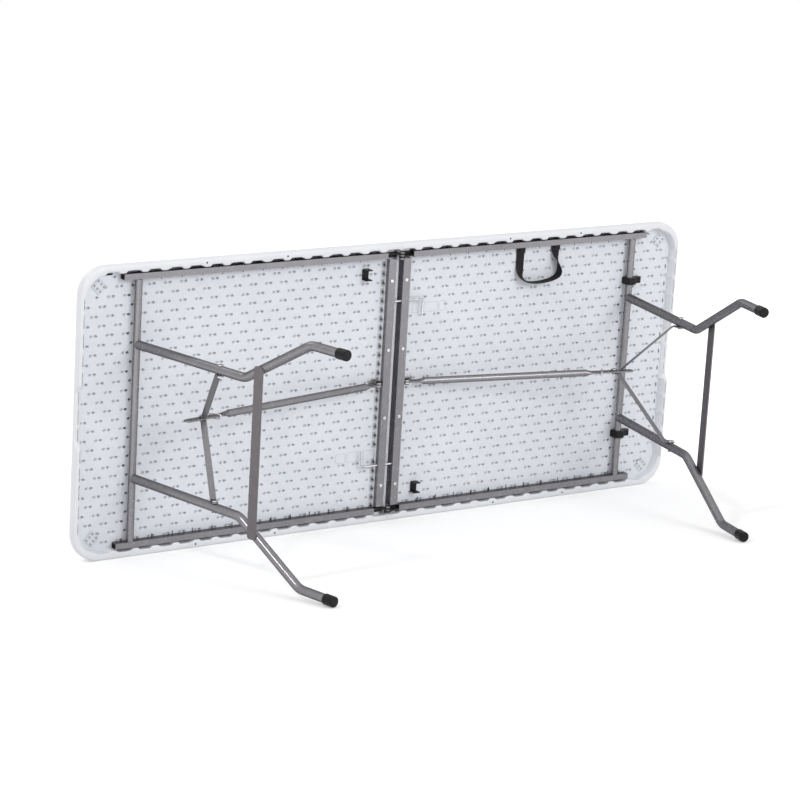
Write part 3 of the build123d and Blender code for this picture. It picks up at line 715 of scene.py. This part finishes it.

# Painted shade: flat dark pads stand for the unlit inside of short drain slots through the lower skin along
# the foot of each rail, of small blow-pin vents in the rims, of the narrow gap between rail and rim and of
# the open rail ends, where the moulding or the rail is hollow. The left half has one more slot in a corner.
painted_hollow_shade = finish_material("painted_hollow_shade", (0.010, 0.010, 0.012), (0.02, 0.02, 0.023),
                              rough=0.7, fine=300, broad=40, bump=0.0001, shine=0.1)
slot_x = 0.1083 + bay_pitch * np.arange(12)
slot_y = 0.3205
slot_size = (0.0013, 0.0048)
vent_x = (0.3355, 0.563)
vent_y = 0.3515
vent_size = (0.0023, 0.0023)
gap_x = 0.4125
gap_y = 0.3460
gap_size = (0.3735, 0.0072)
rail_ends = (0.779, 0.7835)
rail_inside = (0.3253, 0.3372, 0.3372, 0.3253)
rail_drops = (0.0193, 0.0193, 0.0372, 0.0372)
corner_slot_x = 0.8190
corner_slot_y = 0.3370
corner_slot_size = (0.0130, 0.0025)
corner_slot_turns = 16
mouth_turns = 12
mouth_root = 0.001
mouth_rise = 0.0002


def flat_pads(places, y, size, drop, turns):
    """Rounded pads a fifth of a millimetre high, one at each x of places: a circle, or an oblong with round
    ends where the two half lengths in size differ, carried up from the surface to its dark mouth of painted
    shade."""
    small = min(size)
    ring_x, ring_y = oblong(small, size[0] - small, size[1] - small, turns)
    parts = []
    for x in places:
        rings = [np.stack([x + ring_x, y + ring_y, np.full(turns, table_face - d)], 1)
                 for d in (drop - mouth_root, drop + mouth_rise)]
        parts.append(tube_of_rings(rings))
    return parts


shade_pads = []
for side in (-1, 1):
    shade_pads += flat_pads((gap_x,), side * gap_y, gap_size, panel_drop, mouth_turns)
    shade_pads += flat_pads(slot_x, side * slot_y, slot_size, panel_drop, mouth_turns)
    shade_pads += flat_pads(vent_x, side * vent_y, vent_size, rim_drop, mouth_turns)
    inside = [side * np.array(rail_inside), table_face - np.array(rail_drops)]
    shade_pads.append(tube_of_rings([np.stack([np.full(4, x)] + inside, 1) for x in rail_ends]))
corner_slot = flat_pads((corner_slot_x,), corner_slot_y, corner_slot_size, panel_drop, corner_slot_turns)
make_piece("right_shade_pads", join(shade_pads), painted_hollow_shade, "right_half")
make_piece("left_shade_pads", half_turn(join(shade_pads + corner_slot)), painted_hollow_shade, "left_half")

# Corner pads: in both end corners the lower skin carries a small raised pad, set across the corner,
# with six shallow dimples. It is part of the moulding.
# Painted shade darkens the dimples, their lips and the pad's edges and walls; its top is a little darker than
# the panel too.
pad_half = 0.0147
pad_rise = 0.0020
pad_root = 0.004
pad_x = 0.842
pad_y = 0.3100
dot_step = 0.0107
dot_radius = 0.0030
dot_depth = 0.0017
dot_shade = 0.50
dot_lip_shade = 0.20
pad_edge_shade = 0.16
pad_shade = 0.02
pad_wall_shade = 0.30


def corner_pads():
    """Two rows of three small cups on a square slab, turned half a right angle so that the rows point away
    from the corner, and set in both end corners. Gives the shape and its painted shade in cups, on lips,
    edges and walls."""
    x_edges = np.array((-pad_half, -dot_step / 2, dot_step / 2, pad_half))
    y_edges = np.array((-pad_half, 0, pad_half))
    centre = np.broadcast_to(dot_step * np.array((-1, 0, 1)), (2, 3))
    size = np.full(centre.shape, dot_radius)
    x, y, sink = cup_field(x_edges, y_edges, centre, size, size, dot_depth)
    points, faces = slab(x, y, panel_drop + pad_rise - sink, panel_drop - pad_root)
    dot_x = dot_step * np.round(np.clip(x / dot_step, -1, 1))
    near = np.hypot(x - dot_x, np.abs(y) - pad_half / 2) < lip_margin * dot_radius
    dark = np.full(x.shape, pad_edge_shade)
    dark[1:-1, 1:-1] = pad_shade
    dark = np.where(sink > 0, dot_shade, np.where(near, dot_lip_shade, dark))
    dark = np.concatenate([dark.ravel(), np.full(len(points) - sink.size, pad_wall_shade)])
    root = np.sqrt(0.5)
    px, py, pz = points.T
    front = np.stack([(px - py) * root + pad_x, (px + py) * root + pad_y, pz], 1)
    return join([(front, faces), (front * np.array((1, -1, 1)), faces)]), np.tile(dark, 2)


pad_shape, pad_painted_shade = corner_pads()
make_piece("right_corner_pads", pad_shape, panel_plastic, "right_half",
           panel_sharp, {"painted_shade": pad_painted_shade})
make_piece("left_corner_pads", half_turn(pad_shape), panel_plastic, "left_half",
           panel_sharp, {"painted_shade": pad_painted_shade})

# Floor: the table lies on one long edge and two feet, so the floor runs along the front edge
# and leans with it. To the camera it glows a little, more so far from the table.
# Seen from behind it is clear.
floor_edge = half_width + 0.0005
floor_lean = np.radians(5.2)
floor_reach = 14.0
floor_start = 0.02
floor_colour = (0.86, 0.86, 0.86, 1)
glow_middle = (0, floor_edge, table_face - 0.3)
glow_near = 0.9
glow_far = 2.0
glow_low = 0.28
glow_high = 0.65
floor_x, floor_away = np.meshgrid((-floor_reach, floor_reach), (-floor_reach, floor_reach))
floor_y = floor_edge + floor_away * np.sin(floor_lean)
floor_z = table_face - floor_start + floor_away * np.cos(floor_lean)
floor_points = np.stack([floor_x, floor_y, floor_z], -1).reshape(-1, 3)
floor_mesh = bpy.data.meshes.new("floor")
floor_mesh.from_pydata(floor_points.tolist(), [], [(0, 1, 3, 2)])
floor = bpy.data.objects.new("floor", floor_mesh)
bpy.context.scene.collection.objects.link(floor)
floor_paint = bpy.data.materials.new("floor_paint")
floor_paint.use_nodes = True
tree = floor_paint.node_tree
tree.nodes.clear()
result = tree.nodes.new("ShaderNodeOutputMaterial")
matt = tree.nodes.new("ShaderNodeBsdfDiffuse")
matt.inputs["Color"].default_value = floor_colour
glow = tree.nodes.new("ShaderNodeEmission")
path = tree.nodes.new("ShaderNodeLightPath")
seen = math_node(tree, "MAXIMUM", path.outputs["Is Camera Ray"], path.outputs["Is Glossy Ray"])
place = tree.nodes.new("ShaderNodeTexCoord")
distance = tree.nodes.new("ShaderNodeVectorMath")
distance.operation = "DISTANCE"
distance.inputs[1].default_value = glow_middle
tree.links.new(place.outputs["Object"], distance.inputs[0])
fade = map_range(tree, distance.outputs["Value"], glow_near, glow_far, glow_low, glow_high)
fade.interpolation_type = "SMOOTHSTEP"
level = math_node(tree, "MULTIPLY", seen, fade.outputs["Result"])
tree.links.new(level, glow.inputs["Strength"])
both = tree.nodes.new("ShaderNodeAddShader")
tree.links.new(matt.outputs["BSDF"], both.inputs[0])
tree.links.new(glow.outputs["Emission"], both.inputs[1])
clear = tree.nodes.new("ShaderNodeBsdfTransparent")
facing = tree.nodes.new("ShaderNodeNewGeometry")
mix = tree.nodes.new("ShaderNodeMixShader")
tree.links.new(facing.outputs["Backfacing"], mix.inputs["Fac"])
tree.links.new(both.outputs["Shader"], mix.inputs[1])
tree.links.new(clear.outputs["BSDF"], mix.inputs[2])
tree.links.new(mix.outputs["Shader"], result.inputs["Surface"])
floor_mesh.materials.append(floor_paint)

# Studio light: an even white surround, a large soft lamp above and to the right of the camera,
# a second one above and behind the table, and a small one at the left that draws the streaks on the legs.
surround_lit = 0.70
surround_seen = 1.0
lamp_side = (0.1, -1.0, 0.05)
world = bpy.data.worlds.new("studio")
bpy.context.scene.world = world
world.use_nodes = True
tree = world.node_tree
background = tree.nodes["Background"]
background.inputs["Color"].default_value = (1, 1, 1, 1)
path = tree.nodes.new("ShaderNodeLightPath")
seen = math_node(tree, "MAXIMUM", path.outputs["Is Camera Ray"], path.outputs["Is Glossy Ray"])
seen = math_node(tree, "MAXIMUM", seen, path.outputs["Is Transmission Ray"])
strength = map_range(tree, seen, 0, 1, surround_lit, surround_seen)
tree.links.new(strength.outputs["Result"], background.inputs["Strength"])


def stand(thing, right, up, back, place):
    """Puts a lamp or a camera at place, with its own axes along right, up and back."""
    basis = np.eye(4)
    basis[:3] = np.stack([right, up, back, place], 1)
    thing.matrix_world = Matrix(basis.tolist())


def soft_lamp(name, place, target, size, power):
    """A square area lamp at place that faces target."""
    lamp = bpy.data.lights.new(name, "AREA")
    lamp.size = size
    lamp.energy = power
    holder = bpy.data.objects.new(name, lamp)
    bpy.context.scene.collection.objects.link(holder)
    back = np.array(place, float) - np.array(target, float)
    back = back / np.linalg.norm(back)
    right = np.cross(lamp_side, back)
    right = right / np.linalg.norm(right)
    stand(holder, right, np.cross(back, right), back, place)


soft_lamp("key", (2.3, -4.2, -7.0), (0.0, 0.0, 0.6), size=3.6, power=225)
soft_lamp("top", (-1.5, -3.0, 4.5), (0.0, 0.0, 0.7), size=1.5, power=25)
soft_lamp("side", (-3.6, -3.2, 0.05), (-0.4, 0.1, 0.4), size=0.4, power=32)

# Camera: it looks at the underside of the lying table from the left and a little above,
# at the photograph's angle and distance. Its turn is an axis whose length is the angle in radians.
camera_turn = np.array((0.2616, -0.5993, -0.0204))
camera_shift = np.array((-0.0368714, -0.0503901, 7.4040507))
focal_pixels = 2922.9386
picture_pixels = 800
sensor_width = 36
angle = np.linalg.norm(camera_turn)
kx, ky, kz = camera_turn / angle
skew = np.array(((0, -kz, ky), (kz, 0, -kx), (-ky, kx, 0)))
turn = np.eye(3) + np.sin(angle) * skew + (1 - np.cos(angle)) * skew @ skew
lens = bpy.data.cameras.new("camera")
lens.sensor_width = sensor_width
lens.lens = focal_pixels / picture_pixels * sensor_width
camera = bpy.data.objects.new("camera", lens)
bpy.context.scene.collection.objects.link(camera)
camera_place = -turn.T @ camera_shift + np.array((0, 0, table_face))
stand(camera, turn[0], -turn[1], -turn[2], camera_place)
bpy.context.scene.camera = camera
bpy.context.scene.view_settings.view_transform = "Standard"
